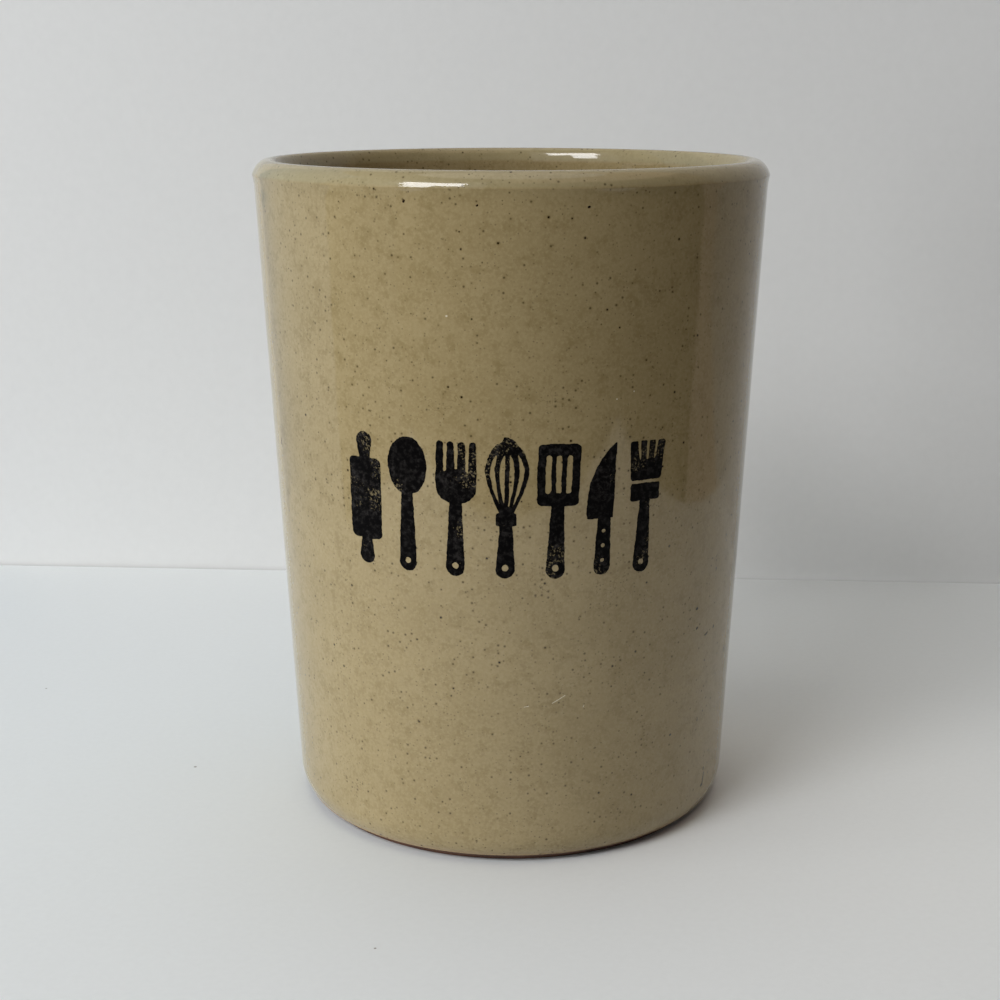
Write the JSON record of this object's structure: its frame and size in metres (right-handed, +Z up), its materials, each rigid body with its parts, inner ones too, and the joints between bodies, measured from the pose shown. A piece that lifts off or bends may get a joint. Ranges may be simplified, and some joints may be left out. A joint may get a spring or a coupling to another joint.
{
  "type": "utensil crock",
  "caption": "Tapered stoneware crock with a rounded lip, a bare clay foot and glaze inside and out, for standing kitchen utensils in.",
  "frame": {"origin": "on the table at the middle of the foot", "axes": "+Z up along the pot's axis; the printed side faces -Y, towards the camera; +X to the right of the picture"},
  "size_m": [0.1244, 0.1242, 0.16],
  "materials": {
    "fired_clay": "bare fired stoneware, fine sandy grain",
    "outer_glaze": "glossy speckled khaki glaze with a worn black print on the front",
    "inner_glaze": "glossy speckled khaki liner glaze"
  },
  "bodies": {
    "root": {"stoneware_body": "fired_clay", "outer_glaze": "outer_glaze", "inner_glaze": "inner_glaze"}
  },
  "joints": []
}
